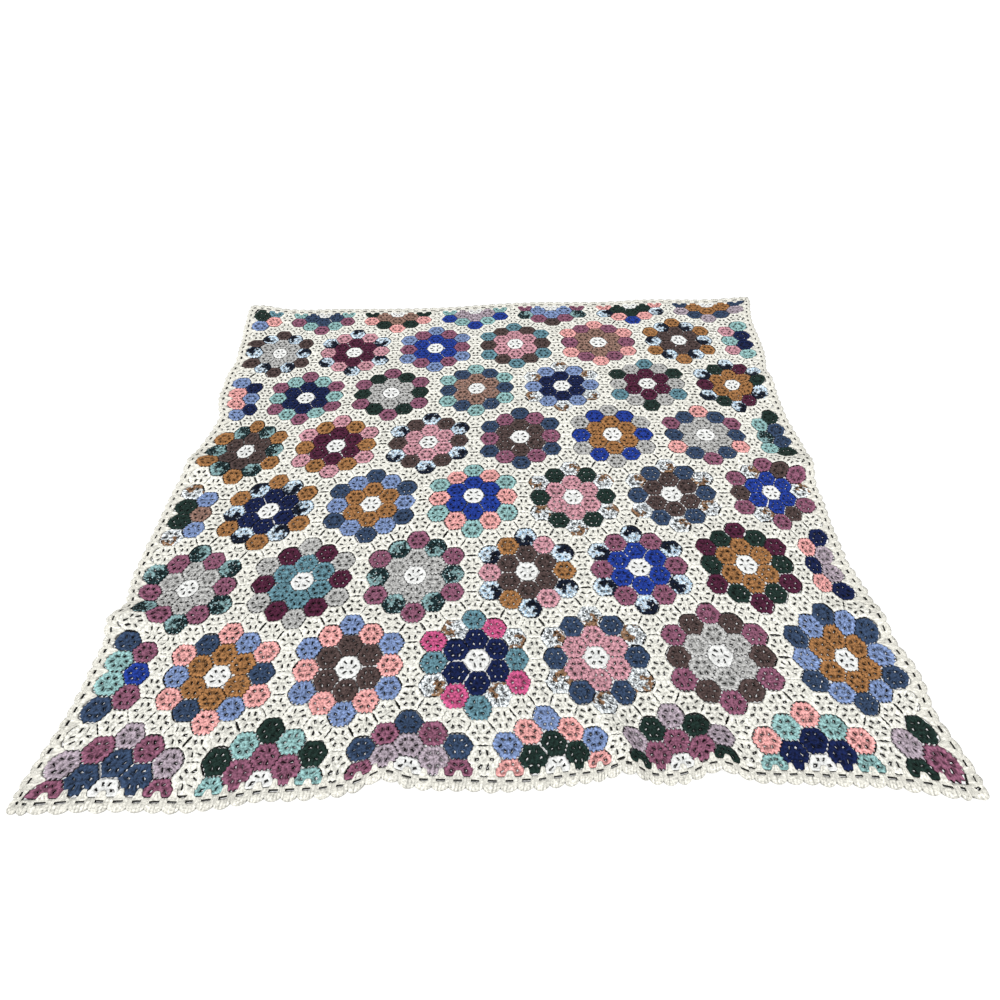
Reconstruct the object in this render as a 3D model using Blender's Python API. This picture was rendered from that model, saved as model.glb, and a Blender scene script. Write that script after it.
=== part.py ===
"""Crocheted blanket of joined hexagon motifs with a shell border, lying flat on a floor with low ripples.

Two pieces. The field is one sheet of hexagon motifs joined edge to edge, each a little raised between its
joins: half motifs straighten its near and far edges, and its left and right edges are stepped. The shell
border is a closed ring round it, with one shell to each motif side, a scalloped outline and a gap cut
through under each shell.

Metres, +Z up, +X to the right, +Y away from the near edge. The origin is on the floor at the middle of
the blanket's box. Places on the lattice are in motif pitches from the middle of the field.
"""

from collections import namedtuple
from math import copysign, cos, exp, radians, sin, sqrt

import bmesh
import bpy
from mathutils.geometry import delaunay_2d_cdt

# Driving dimensions, metres.
MOTIF_PITCH = 0.056         # one hexagon motif, flat side to flat side
SHEET_THICKNESS = 0.0042    # worsted yarn in double crochet, at a motif's middle and in the border
JOIN_THICKNESS = 0.0028     # along the joins between motifs
PIECE_GAP = 0.0006          # between the field's rim and the border, before the rim is drawn outwards
FLOOR_TOUCH = 0.002         # a ripple lower than this lies on the floor
BOX_MIDDLE = (-0.0045, 0.0045)  # middle of the blanket's box, from the middle of the field

# The lattice, in motif pitches. Columns stand side by side; every other one is half a motif lower.
COLUMNS = 38
FULL_MOTIFS = 31
COLUMN_STEP = sqrt(3) / 2
SIDE = 1 / sqrt(3)          # one side of a hexagon
HALF_SIDE = SIDE / 2
FIELD_LENGTH = FULL_MOTIFS + 0.5
HALF_LENGTH = FIELD_LENGTH / 2
FIRST_COLUMN = -(COLUMNS - 1) * COLUMN_STEP / 2
HALF_WIDTH = -FIRST_COLUMN + SIDE

# The shell border, in motif pitches, measured outwards from the field's corner points.
SHELL_VALLEY = 0.50
SHELL_CREST = 0.67
CREST_SHARE = 0.26          # where a fan's round top starts, as a share of the shell
GAP_AT = 0.22
GAP_DEPTH = 0.12
GAP_SHARE = 0.44            # length of the gap as a share of the shell
# The shell that turns a corner, as shares of those sizes: out along the diagonal, and to each side of it.
CORNER_GAP = 0.8            # its gap lies nearer the field and is shorter
CORNER_GAP_DEPTH = 0.67
CORNER_SHOULDER = (0.62, 0.42)
CORNER_CREST = (0.78, 0.22)

# The motifs at the field's rim are drawn outwards and the border is drawn in to suit: how far at the rim, and
# how far inside it that has faded away. One for the side edges and one for the near and far edges.
RimDraw = namedtuple("RimDraw", "half draw fade")
RIM_DRAW_X = RimDraw(HALF_WIDTH, 0.24, 2.0)
RIM_DRAW_Y = RimDraw(HALF_LENGTH, 0.14, 0.9)

# How the cloth is pushed about in its own plane as it lies: a push at a place, fading over its reach.
Push = namedtuple("Push", "x y push_x push_y reach_x reach_y")
PUSHES = (
    # left edge, far to near
    Push(-17.0, 16.6, -0.30, 0.85, 2.2, 2.2),
    Push(-16.8, 10.2, 0.48, 0.00, 2.6, 2.6),
    Push(-16.8, 4.4, 0.76, 0.00, 2.6, 2.2),
    Push(-16.8, 1.2, 0.26, 0.00, 2.0, 1.2),
    Push(-16.8, -7.6, 0.26, 0.00, 1.6, 0.9),
    Push(-17.0, 9.4, -0.22, 0.00, 1.6, 1.0),
    Push(-17.2, 5.2, 0.16, 0.00, 1.4, 0.8),
    Push(-16.2, -6.4, 0.00, -0.34, 1.6, 1.6),
    Push(-16.4, -11.0, -0.05, 0.20, 1.8, 1.8),
    Push(-17.2, -16.6, -0.85, -0.20, 3.2, 3.0),
    # right edge, far to near
    Push(16.8, 16.4, 0.65, -0.20, 3.0, 2.2),
    Push(16.8, 5.0, -0.66, 0.00, 2.4, 4.4),
    Push(16.8, -3.4, -0.76, 0.00, 2.4, 4.2),
    Push(16.8, -9.8, -0.84, 0.00, 2.4, 4.0),
    Push(17.2, -16.6, 0.10, -0.66, 2.6, 2.4),
    Push(16.8, -6.6, -0.32, 0.00, 1.6, 1.3),
    Push(16.8, -13.8, -0.24, 0.00, 1.4, 0.9),
    Push(16.8, -11.9, 0.16, 0.00, 1.4, 1.0),
    Push(15.6, -6.6, 0.04, -0.14, 1.8, 1.8),
    Push(15.6, 2.4, 0.02, -0.50, 2.0, 2.2),
    Push(15.8, 11.4, 0.02, -0.40, 2.2, 2.4),
    Push(17.8, -4.6, -0.28, 0.00, 1.0, 1.6),
    Push(17.8, -1.6, -0.22, 0.00, 1.0, 1.4),
    Push(17.8, 3.0, -0.20, 0.00, 1.0, 1.6),
    Push(17.8, 7.6, -0.26, 0.00, 1.0, 1.0),
    Push(17.9, -15.2, -0.20, 0.00, 1.0, 1.6),
    # near edge, left to right
    Push(-14.4, -15.4, -0.12, 0.00, 2.0, 2.0),
    Push(-11.2, -16.4, 0.00, -0.28, 2.8, 2.4),
    Push(-9.2, -16.4, 0.00, 0.14, 1.6, 1.8),
    Push(-3.0, -15.6, 0.32, 0.06, 5.0, 2.3),
    Push(1.4, -15.6, 0.58, 0.04, 3.4, 2.3),
    Push(-4.8, -16.4, 0.00, 0.34, 0.8, 1.4),
    Push(-3.9, -16.4, 0.00, 0.20, 2.6, 2.0),
    Push(4.1, -16.4, 0.10, 0.34, 0.8, 1.8),
    Push(2.9, -16.4, 0.00, 0.30, 2.0, 2.0),
    Push(6.0, -16.6, 0.06, 0.14, 1.6, 1.6),
    Push(10.2, -16.8, 0.00, 0.14, 1.2, 1.2),
    Push(7.9, -16.4, 0.00, 0.50, 1.1, 1.8),
    # far edge, left to right
    Push(-4.4, 16.4, 0.00, -0.44, 5.6, 2.4),
    Push(7.2, 16.4, 0.00, -0.42, 3.6, 2.2),
    Push(14.0, 16.4, 0.14, -0.50, 3.2, 2.4),
    Push(-8.2, 16.0, -0.28, 0.00, 3.8, 2.2),
    Push(-14.2, 16.0, -0.12, -0.10, 2.4, 2.2),
    Push(9.2, 16.0, 0.32, 0.00, 4.0, 2.2),
    # inside the field
    Push(-14.3, -1.5, 0.10, -0.36, 4.0, 8.0),
    Push(-1.3, -2.4, 0.08, 0.18, 2.6, 2.2),
    Push(1.6, 2.8, 0.00, 0.16, 3.4, 2.6),
    Push(14.3, 6.8, 0.10, -0.46, 2.8, 3.0),
    Push(9.6, 11.4, 0.38, -0.10, 4.6, 3.4),
    Push(-1.3, -11.2, 0.30, 0.14, 2.6, 2.4),
    Push(14.0, -11.2, 0.22, -0.34, 2.4, 2.4),
    Push(-13.4, -5.2, -0.26, 0.00, 3.4, 3.4),
    Push(-10.2, -8.6, 0.00, -0.16, 3.6, 4.6),
    Push(-5.6, 5.2, 0.18, -0.14, 7.0, 4.0),
    Push(11.6, -5.4, -0.20, 0.00, 3.0, 4.0),
    Push(8.2, -2.2, -0.18, -0.02, 3.2, 2.6),
    Push(-6.8, -12.0, 0.14, 0.02, 3.0, 2.2),
    Push(-12.4, -11.2, -0.10, -0.10, 2.2, 2.0),
    Push(3.6, -11.0, 0.06, 0.10, 3.0, 2.6),
    Push(13.2, -10.2, -0.14, -0.04, 2.0, 2.2),
    Push(13.0, -6.6, -0.12, 0.00, 1.8, 2.4),
    Push(14.6, -1.2, -0.06, -0.16, 2.4, 2.4),
    Push(-11.2, 6.8, 0.08, -0.12, 3.4, 2.6),
    Push(4.0, 6.8, 0.10, 0.08, 6.0, 2.6),
    Push(-1.0, 7.0, 0.00, 0.14, 2.6, 2.4),
    Push(-9.1, 11.4, -0.14, -0.18, 3.6, 2.8),
    Push(11.4, 3.0, -0.06, -0.22, 3.4, 2.4),
    Push(0.0, 10.2, 0.04, -0.14, 20.0, 3.4),
)

# Ripples: low round ridges, each about its own middle. Heading is the ridge's run in degrees from +X.
Ripple = namedtuple("Ripple", "x y heading half_length half_width height")
RIPPLES = (
    # humps that the edges make
    Ripple(-16.6, 1.1, -14, 2.4, 0.85, 0.026),
    Ripple(-16.9, -8.6, 12, 1.8, 0.75, 0.030),
    Ripple(16.5, -0.5, 168, 2.0, 0.80, 0.026),
    Ripple(16.4, 6.8, 190, 1.7, 0.80, 0.020),
    Ripple(16.5, -9.6, 172, 1.9, 0.75, 0.022),
    Ripple(-16.6, 11.6, 8, 1.8, 0.90, 0.014),
    Ripple(4.0, -14.8, 106, 2.6, 0.70, 0.020),
    Ripple(-4.4, -15.6, 84, 2.0, 0.80, 0.016),
    Ripple(7.9, -15.5, 98, 2.2, 0.80, 0.018),
    # broad, low waves inside the field
    Ripple(-1.6, -2.4, 24, 4.2, 1.70, 0.012),
    Ripple(6.2, 3.4, 158, 4.6, 1.60, 0.009),
    Ripple(-8.6, 5.2, 38, 4.0, 1.60, 0.010),
    Ripple(-7.8, -8.8, 150, 3.6, 1.50, 0.009),
    Ripple(8.8, -6.6, 20, 3.8, 1.50, 0.010),
    Ripple(2.8, 11.8, 6, 5.0, 1.60, 0.010),
)

CREAM = (0.80, 0.76, 0.66, 1.0)
WARM_CREAM = (0.80, 0.74, 0.62, 1.0)
YARN_ROUGHNESS = 0.92


def drawn(place, rim):
    """A place along one axis, drawn outwards if it is near the field's rim."""
    past = abs(place) - rim.half
    share = max(0.0, 1 + past / rim.fade) ** 2 if past < 0 else max(0.0, 1 - past / SHELL_CREST)
    return place + copysign(rim.draw * share, place)


def lie(x, y):
    """A lattice place, in pitches, as the point in metres where the underside of the cloth lies there."""
    x, y = drawn(x, RIM_DRAW_X), drawn(y, RIM_DRAW_Y)
    moved_x, moved_y = x, y
    for push in PUSHES:
        fade = exp(-(((x - push.x) / push.reach_x) ** 2) - ((y - push.y) / push.reach_y) ** 2)
        moved_x += push.push_x * fade
        moved_y += push.push_y * fade
    lift = 0.0
    for ripple in RIPPLES:
        run = radians(ripple.heading)
        along = (x - ripple.x) * cos(run) + (y - ripple.y) * sin(run)
        across = (y - ripple.y) * cos(run) - (x - ripple.x) * sin(run)
        lift += ripple.height * exp(-((along / ripple.half_length) ** 2) - (across / ripple.half_width) ** 2)
    return (
        moved_x * MOTIF_PITCH - BOX_MIDDLE[0],
        moved_y * MOTIF_PITCH - BOX_MIDDLE[1],
        max(0.0, lift - FLOOR_TOUCH),
    )


def rounded(place):
    """The same place under one name, however it was worked out."""
    return round(place[0], 5), round(place[1], 5)


def sheet_object(name, upper_faces, lower_faces, thickness_at, colour):
    """One closed sheet. Each face is a run of lattice places, counter-clockwise from above; the upper and
    the lower faces share their rims, and walls join the two there."""
    mesh = bpy.data.meshes.new(name)
    body = bmesh.new()
    upper, lower = {}, {}
    for spots, faces, above in ((upper, upper_faces, 1), (lower, lower_faces, 0)):
        for place in (rounded(corner) for face in faces for corner in face):
            if place not in spots:
                x, y, z = lie(*place)
                spots[place] = body.verts.new((x, y, z + above * thickness_at(place)))
    for face in upper_faces:
        body.faces.new([upper[rounded(place)] for place in face])
    for face in lower_faces:
        body.faces.new([lower[rounded(place)] for place in reversed(face)])
    sides = [(rounded(face[i - 1]), rounded(face[i])) for face in upper_faces for i in range(len(face))]
    inner_sides = set(sides)
    for start, end in sides:
        if (end, start) not in inner_sides:
            body.faces.new((upper[end], upper[start], lower[start], lower[end]))
    body.to_mesh(mesh)
    body.free()
    made = bpy.data.objects.new(name, mesh)
    bpy.context.scene.collection.objects.link(made)
    finish = bpy.data.materials.new(name + "_yarn")
    finish.use_nodes = True
    shader = finish.node_tree.nodes["Principled BSDF"]
    shader.inputs["Base Color"].default_value = colour
    shader.inputs["Roughness"].default_value = YARN_ROUGHNESS
    mesh.materials.append(finish)
    return made


def motif_centres():
    """The middle of every whole and half motif, in pitches."""
    for column in range(COLUMNS):
        lower_by = 0.0 if column % 2 == 0 else 0.5
        for row in range(FULL_MOTIFS + 1):
            yield FIRST_COLUMN + column * COLUMN_STEP, row + lower_by - HALF_LENGTH


def near_edge():
    """The field's straight near edge, left to right, with a point at each shell's end. The shells stand at
    the motifs' corners and at the half motifs' middles, so the edge starts and ends with a half shell."""
    sides = round((2 * HALF_WIDTH - HALF_SIDE) / SIDE)
    ends = [0, *(i + 0.5 for i in range(sides)), sides]
    return [(i * SIDE - HALF_WIDTH, -HALF_LENGTH) for i in ends]


def right_edge():
    """The field's stepped right edge, near to far: in, out, in, to the far corner."""
    steps = round(FIELD_LENGTH * 2)
    return [(HALF_WIDTH - (HALF_SIDE if i % 2 == 0 else 0), -HALF_LENGTH + i / 2) for i in range(steps + 1)]


def turned(places):
    """The same edge on the opposite side: the field is the same when it is turned half round."""
    return [(-x, -y) for x, y in places]


def inside_rim(place):
    return abs(place[1]) < HALF_LENGTH - HALF_SIDE / 2 and abs(place[0]) < HALF_WIDTH - HALF_SIDE * 1.5


def joined_faces(rim, inside):
    """Triangles that fill the rim, with a corner at each place inside it."""
    loop = list(range(len(rim)))
    places, _, faces, *_ = delaunay_2d_cdt(rim + inside, [], [loop], 1, 1e-6)
    return [[tuple(places[i]) for i in face] for face in faces]


def build_field():
    """The joined motifs: six facets to a motif above, and one point to a motif below."""
    rim = near_edge()[:-1] + right_edge()[:-1] + turned(near_edge())[:-1] + turned(right_edge())[:-1]
    middles = [rounded(place) for place in motif_centres()]
    corners = {
        rounded((x + SIDE * cos(turn), y + SIDE * sin(turn)))
        for x, y in motif_centres()
        for turn in (radians(60 * step) for step in range(6))
    }
    inner_middles = [place for place in middles if abs(place[1]) < HALF_LENGTH - HALF_SIDE / 2]
    inner_corners = sorted(place for place in corners if inside_rim(place))
    raised = set(middles)

    def thickness_at(place):
        return SHEET_THICKNESS if place in raised else JOIN_THICKNESS

    above = joined_faces(rim, inner_middles + inner_corners)
    below = joined_faces(rim, inner_middles)
    return sheet_object("field", above, below, thickness_at, CREAM)


def outwards(place, normal, distance):
    """A place moved out square to its side, to a distance from the field's corner points."""
    x, y = place
    if normal[0]:
        return normal[0] * (HALF_WIDTH + distance), y
    return x, normal[1] * (HALF_LENGTH + distance)


def between(start, end, share):
    return start[0] + (end[0] - start[0]) * share, start[1] + (end[1] - start[1]) * share


def shell(ring, inner_start, inner_end, normal):
    """One shell: a gap cut through between its two rows, and a fan with a round top."""
    valley_start = outwards(inner_start, normal, SHELL_VALLEY)
    valley_end = outwards(inner_end, normal, SHELL_VALLEY)
    crest_start = outwards(between(inner_start, inner_end, CREST_SHARE), normal, SHELL_CREST)
    crest_end = outwards(between(inner_start, inner_end, 1 - CREST_SHARE), normal, SHELL_CREST)
    gap_start = between(inner_start, inner_end, (1 - GAP_SHARE) / 2)
    gap_end = between(inner_start, inner_end, (1 + GAP_SHARE) / 2)
    low_start = outwards(gap_start, normal, GAP_AT - GAP_DEPTH / 2)
    low_end = outwards(gap_end, normal, GAP_AT - GAP_DEPTH / 2)
    high_start = outwards(gap_start, normal, GAP_AT + GAP_DEPTH / 2)
    high_end = outwards(gap_end, normal, GAP_AT + GAP_DEPTH / 2)
    # Seen from above, an edge that runs with the field on its left has the border on its right.
    ring.append((inner_end, inner_start, low_start, low_end))
    ring.append((inner_start, valley_start, high_start, low_start))
    ring.append((valley_end, inner_end, low_end, high_end))
    ring.append((high_start, valley_start, crest_start))
    ring.append((high_end, high_start, crest_start, crest_end))
    ring.append((valley_end, high_end, crest_end))


def corner_shell(ring, inner, normal_in, normal_out):
    """The shell that turns a corner, with its gap across the diagonal."""
    first = outwards(inner, normal_in, SHELL_VALLEY)
    last = outwards(inner, normal_out, SHELL_VALLEY)
    diagonal = (normal_in[0] + normal_out[0], normal_in[1] + normal_out[1])
    base = (HALF_WIDTH * diagonal[0], HALF_LENGTH * diagonal[1])
    along = (normal_out[0] - normal_in[0], normal_out[1] - normal_in[1])

    def spot(out, across):
        return (
            base[0] + diagonal[0] * out + along[0] * across,
            base[1] + diagonal[1] * out + along[1] * across,
        )

    def pair(out, across):
        return spot(out, -across), spot(out, across)

    gap_out = GAP_AT * CORNER_GAP
    gap_half_depth = GAP_DEPTH * CORNER_GAP_DEPTH / 2
    gap_half_length = GAP_SHARE * HALF_SIDE * CORNER_GAP * COLUMN_STEP
    low = pair(gap_out - gap_half_depth, gap_half_length)
    high = pair(gap_out + gap_half_depth, gap_half_length)
    crest = pair(*(SHELL_CREST * share for share in CORNER_CREST))
    shoulder = pair(*(SHELL_CREST * share for share in CORNER_SHOULDER))
    ring.append((inner, low[0], low[1]))
    ring.append((inner, first, high[0], low[0]))
    ring.append((last, inner, low[1], high[1]))
    ring.append((high[0], first, shoulder[0], crest[0]))
    ring.append((high[1], high[0], crest[0], crest[1]))
    ring.append((last, high[1], crest[1], shoulder[1]))


def build_border():
    """The closed ring of shells, clear of the field's rim by the gap between pieces."""
    clear = PIECE_GAP / MOTIF_PITCH
    near = [(x, y - clear) for x, y in near_edge()]
    right = [(x + clear / COLUMN_STEP, y) for x, y in right_edge()]
    near[0] = (near[0][0] - clear / COLUMN_STEP, near[0][1])
    near[-1] = (near[-1][0] + clear / COLUMN_STEP, near[-1][1])
    right[0] = near[-1]
    far, left = turned(near), turned(right)
    right[-1], left[-1] = far[0], near[0]
    edges = ((near, (0, -1)), (right, (1, 0)), (far, (0, 1)), (left, (-1, 0)))
    ring = []
    for number, (edge, normal) in enumerate(edges):
        for start, end in zip(edge, edge[1:]):
            shell(ring, start, end, normal)
        next_normal = edges[(number + 1) % len(edges)][1]
        corner_shell(ring, edge[-1], normal, next_normal)
    return sheet_object("shell_border", ring, ring, lambda place: SHEET_THICKNESS, WARM_CREAM)


def main():
    for old in list(bpy.data.objects):
        bpy.data.objects.remove(old, do_unlink=True)
    build_field()
    build_border()


main()
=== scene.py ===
"""Looks of a crocheted blanket of joined hexagon motifs with a shell border, lying flat on a floor.

The meshes are laid on the same lattice, pushes and ripples as the solids. Places on the lattice are in
motif pitches from the middle of the field, and heights are in metres.
"""

from collections import namedtuple
from math import atan2, degrees, hypot, pi, radians, sin, sqrt
from statistics import NormalDist

import bpy
import numpy as np
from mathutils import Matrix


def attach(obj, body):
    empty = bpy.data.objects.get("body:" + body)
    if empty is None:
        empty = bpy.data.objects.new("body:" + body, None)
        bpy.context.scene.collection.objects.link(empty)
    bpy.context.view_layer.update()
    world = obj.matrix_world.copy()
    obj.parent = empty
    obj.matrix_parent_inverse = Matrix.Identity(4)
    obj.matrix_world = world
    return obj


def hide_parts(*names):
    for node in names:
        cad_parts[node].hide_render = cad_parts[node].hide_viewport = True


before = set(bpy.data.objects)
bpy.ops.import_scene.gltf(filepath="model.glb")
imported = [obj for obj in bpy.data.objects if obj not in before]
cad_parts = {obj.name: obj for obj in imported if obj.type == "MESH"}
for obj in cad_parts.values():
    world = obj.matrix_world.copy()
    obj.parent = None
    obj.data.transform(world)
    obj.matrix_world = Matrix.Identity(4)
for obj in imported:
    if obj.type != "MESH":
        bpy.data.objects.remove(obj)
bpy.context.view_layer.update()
chance = np.random.default_rng(31)

# -------- sizes, the same as in the solids

MOTIF_PITCH = 0.056  # one hexagon motif, flat side to flat side
FLOOR_TOUCH = 0.002  # a ripple lower than this lies on the floor
BOX_MIDDLE = (-0.0045, 0.0045)  # the middle of the blanket's box, from the middle of the field
COLUMNS = 38
FULL_MOTIFS = 31
COLUMN_STEP = sqrt(3) / 2
SIDE = 1 / sqrt(3)  # one side of a hexagon
HALF_SIDE = SIDE / 2
FIELD_LENGTH = FULL_MOTIFS + 0.5
HALF_LENGTH = FIELD_LENGTH / 2
FIRST_COLUMN = -(COLUMNS - 1) * COLUMN_STEP / 2
HALF_WIDTH = -FIRST_COLUMN + SIDE
SHELL_VALLEY, SHELL_CREST = 0.50, 0.67  # the border's scalloped outline, out from the field's corner points

# The field is drawn outwards at its rim, and the border in to suit: where the rim is, how far it is drawn,
# and how far inside it that has faded away.
RimDraw = namedtuple("RimDraw", "half draw fade")
RIM_DRAW_X = RimDraw(HALF_WIDTH, 0.24, 2.0)
RIM_DRAW_Y = RimDraw(HALF_LENGTH, 0.14, 0.9)

# How the cloth is pushed about in its own plane: a push at a place, fading over its reach.
Push = namedtuple("Push", "x y push_x push_y reach_x reach_y")
PUSHES = tuple(Push(*row) for row in (
    # left edge
    (-17, 16.6, -0.3, 0.85, 2.2, 2.2),
    (-16.8, 10.2, 0.48, 0, 2.6, 2.6),
    (-16.8, 4.4, 0.76, 0, 2.6, 2.2),
    (-16.8, 1.2, 0.26, 0, 2, 1.2),
    (-16.8, -7.6, 0.26, 0, 1.6, 0.9),
    (-17, 9.4, -0.22, 0, 1.6, 1),
    (-17.2, 5.2, 0.16, 0, 1.4, 0.8),
    (-16.2, -6.4, 0, -0.34, 1.6, 1.6),
    (-16.4, -11, -0.05, 0.2, 1.8, 1.8),
    (-17.2, -16.6, -0.85, -0.2, 3.2, 3),
    # right edge
    (16.8, 16.4, 0.65, -0.2, 3, 2.2),
    (16.8, 5, -0.66, 0, 2.4, 4.4),
    (16.8, -3.4, -0.76, 0, 2.4, 4.2),
    (16.8, -9.8, -0.84, 0, 2.4, 4),
    (17.2, -16.6, 0.1, -0.66, 2.6, 2.4),
    (16.8, -6.6, -0.32, 0, 1.6, 1.3),
    (16.8, -13.8, -0.24, 0, 1.4, 0.9),
    (16.8, -11.9, 0.16, 0, 1.4, 1),
    (15.6, -6.6, 0.04, -0.14, 1.8, 1.8),
    (15.6, 2.4, 0.02, -0.5, 2, 2.2),
    (15.8, 11.4, 0.02, -0.4, 2.2, 2.4),
    (17.8, -4.6, -0.28, 0, 1, 1.6),
    (17.8, -1.6, -0.22, 0, 1, 1.4),
    (17.8, 3, -0.2, 0, 1, 1.6),
    (17.8, 7.6, -0.26, 0, 1, 1),
    (17.9, -15.2, -0.2, 0, 1, 1.6),
    # near edge
    (-14.4, -15.4, -0.12, 0, 2, 2),
    (-11.2, -16.4, 0, -0.28, 2.8, 2.4),
    (-9.2, -16.4, 0, 0.14, 1.6, 1.8),
    (-3, -15.6, 0.32, 0.06, 5, 2.3),
    (1.4, -15.6, 0.58, 0.04, 3.4, 2.3),
    (-4.8, -16.4, 0, 0.34, 0.8, 1.4),
    (-3.9, -16.4, 0, 0.2, 2.6, 2),
    (4.1, -16.4, 0.1, 0.34, 0.8, 1.8),
    (2.9, -16.4, 0, 0.3, 2, 2),
    (6, -16.6, 0.06, 0.14, 1.6, 1.6),
    (10.2, -16.8, 0, 0.14, 1.2, 1.2),
    (7.9, -16.4, 0, 0.5, 1.1, 1.8),
    # far edge
    (-4.4, 16.4, 0, -0.44, 5.6, 2.4),
    (7.2, 16.4, 0, -0.42, 3.6, 2.2),
    (14, 16.4, 0.14, -0.5, 3.2, 2.4),
    (-8.2, 16, -0.28, 0, 3.8, 2.2),
    (-14.2, 16, -0.12, -0.1, 2.4, 2.2),
    (9.2, 16, 0.32, 0, 4, 2.2),
    # inside the field
    (-14.3, -1.5, 0.1, -0.36, 4, 8),
    (-1.3, -2.4, 0.08, 0.18, 2.6, 2.2),
    (1.6, 2.8, 0, 0.16, 3.4, 2.6),
    (14.3, 6.8, 0.1, -0.46, 2.8, 3),
    (9.6, 11.4, 0.38, -0.1, 4.6, 3.4),
    (-1.3, -11.2, 0.3, 0.14, 2.6, 2.4),
    (14, -11.2, 0.22, -0.34, 2.4, 2.4),
    (-13.4, -5.2, -0.26, 0, 3.4, 3.4),
    (-10.2, -8.6, 0, -0.16, 3.6, 4.6),
    (-5.6, 5.2, 0.18, -0.14, 7, 4),
    (11.6, -5.4, -0.2, 0, 3, 4),
    (8.2, -2.2, -0.18, -0.02, 3.2, 2.6),
    (-6.8, -12, 0.14, 0.02, 3, 2.2),
    (-12.4, -11.2, -0.1, -0.1, 2.2, 2),
    (3.6, -11, 0.06, 0.1, 3, 2.6),
    (13.2, -10.2, -0.14, -0.04, 2, 2.2),
    (13, -6.6, -0.12, 0, 1.8, 2.4),
    (14.6, -1.2, -0.06, -0.16, 2.4, 2.4),
    (-11.2, 6.8, 0.08, -0.12, 3.4, 2.6),
    (4, 6.8, 0.1, 0.08, 6, 2.6),
    (-1, 7, 0, 0.14, 2.6, 2.4),
    (-9.1, 11.4, -0.14, -0.18, 3.6, 2.8),
    (11.4, 3, -0.06, -0.22, 3.4, 2.4),
    (0, 10.2, 0.04, -0.14, 20, 3.4),
))

# Ripples: low round ridges, each about its own middle. Heading is in degrees from +X.
Ripple = namedtuple("Ripple", "x y heading half_length half_width height")
RIPPLES = tuple(Ripple(*row) for row in (
    # humps that the edges make
    (-16.6, 1.1, -14, 2.4, 0.85, 0.026),
    (-16.9, -8.6, 12, 1.8, 0.75, 0.030),
    (16.5, -0.5, 168, 2.0, 0.80, 0.026),
    (16.4, 6.8, 190, 1.7, 0.80, 0.020),
    (16.5, -9.6, 172, 1.9, 0.75, 0.022),
    (-16.6, 11.6, 8, 1.8, 0.90, 0.014),
    (4.0, -14.8, 106, 2.6, 0.70, 0.020),
    (-4.4, -15.6, 84, 2.0, 0.80, 0.016),
    (7.9, -15.5, 98, 2.2, 0.80, 0.018),
    # broad, low waves inside the field
    (-1.6, -2.4, 24, 4.2, 1.70, 0.012),
    (6.2, 3.4, 158, 4.6, 1.60, 0.009),
    (-8.6, 5.2, 38, 4.0, 1.60, 0.010),
    (-7.8, -8.8, 150, 3.6, 1.50, 0.009),
    (8.8, -6.6, 20, 3.8, 1.50, 0.010),
    (2.8, 11.8, 6, 5.0, 1.60, 0.010),
))


def drawn(places, rim):
    """Places along one axis, with those near the field's rim drawn outwards."""
    past = np.abs(places) - rim.half
    inside = np.clip(1 + past / rim.fade, 0, 1) ** 2
    outside = np.clip(1 - past / SHELL_CREST, 0, 1)
    return places + np.sign(places) * rim.draw * np.where(past < 0, inside, outside)


def lie(x, y):
    """Lattice places, in pitches, as points in metres where the underside of the cloth lies there."""
    x, y = drawn(x, RIM_DRAW_X), drawn(y, RIM_DRAW_Y)
    moved_x, moved_y, lift = x.copy(), y.copy(), np.zeros_like(x)
    for push in PUSHES:
        away = ((x - push.x) / push.reach_x) ** 2 + ((y - push.y) / push.reach_y) ** 2
        moved_x += push.push_x * np.exp(-away)
        moved_y += push.push_y * np.exp(-away)
    for ripple in RIPPLES:
        run = radians(ripple.heading)
        along = (x - ripple.x) * np.cos(run) + (y - ripple.y) * np.sin(run)
        across = (y - ripple.y) * np.cos(run) - (x - ripple.x) * np.sin(run)
        away = (along / ripple.half_length) ** 2 + (across / ripple.half_width) ** 2
        lift += ripple.height * np.exp(-away)
    moved_x, moved_y = moved_x * MOTIF_PITCH - BOX_MIDDLE[0], moved_y * MOTIF_PITCH - BOX_MIDDLE[1]
    return np.stack((moved_x, moved_y, np.maximum(0.0, lift - FLOOR_TOUCH)), axis=-1)


# -------- yarns

# A hole's half width in degrees and its two ends, as shares of the way out: above, then below.
Hole = namedtuple("Hole", "half_turn inner outer half_turn_below inner_below outer_below")
CLOSE_HOLE = Hole(9.2, 0.40, 0.635, 3.0, 0.46, 0.57)
OPEN_HOLE = Hole(8.0, 0.42, 0.61, 7.0, 0.43, 0.60)
WIDE_HOLE = Hole(9.8, 0.37, 0.665, 3.0, 0.46, 0.57)

# A rim's finish at 0, 10, 20 and 30 degrees from the middle of a side: its distance from the middle of the
# motif, its height, its painted shade along the join and half the slit that stays open there. Then how much
# of the slit goes right through the work, how far the corners spread and how far a stitch stands out of the
# rim.
Rim = namedtuple("Rim", "reaches heights creases slits through corner_spread bump")
NOWHERE = (0.0, 0.0, 0.0, 0.0)
ROUND_RIM = Rim(
    (0.500, 0.504, 0.510, 0.512), (0.004, 0.004, 0.004, 0.004), (0.1, 0.1, 0.1, 0.2),
    NOWHERE, 0.0, 0.006, 0.020,
)
FLOWER_RIM = Rim(
    (0.494, 0.501, 0.517, 0.530), (0.0042, 0.0042, 0.0043, 0.0043), (0.62, 0.52, 0.36, 0.30),
    (0.019, 0.016, 0.007, 0.0), 0.0, 0.044, 0.048,
)
OPEN_RIM = FLOWER_RIM._replace(
    heights=(0.0022, 0.0026, 0.0034, 0.0036), slits=(0.050, 0.040, 0.006, 0.0), through=0.9, bump=0.028
)
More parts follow.
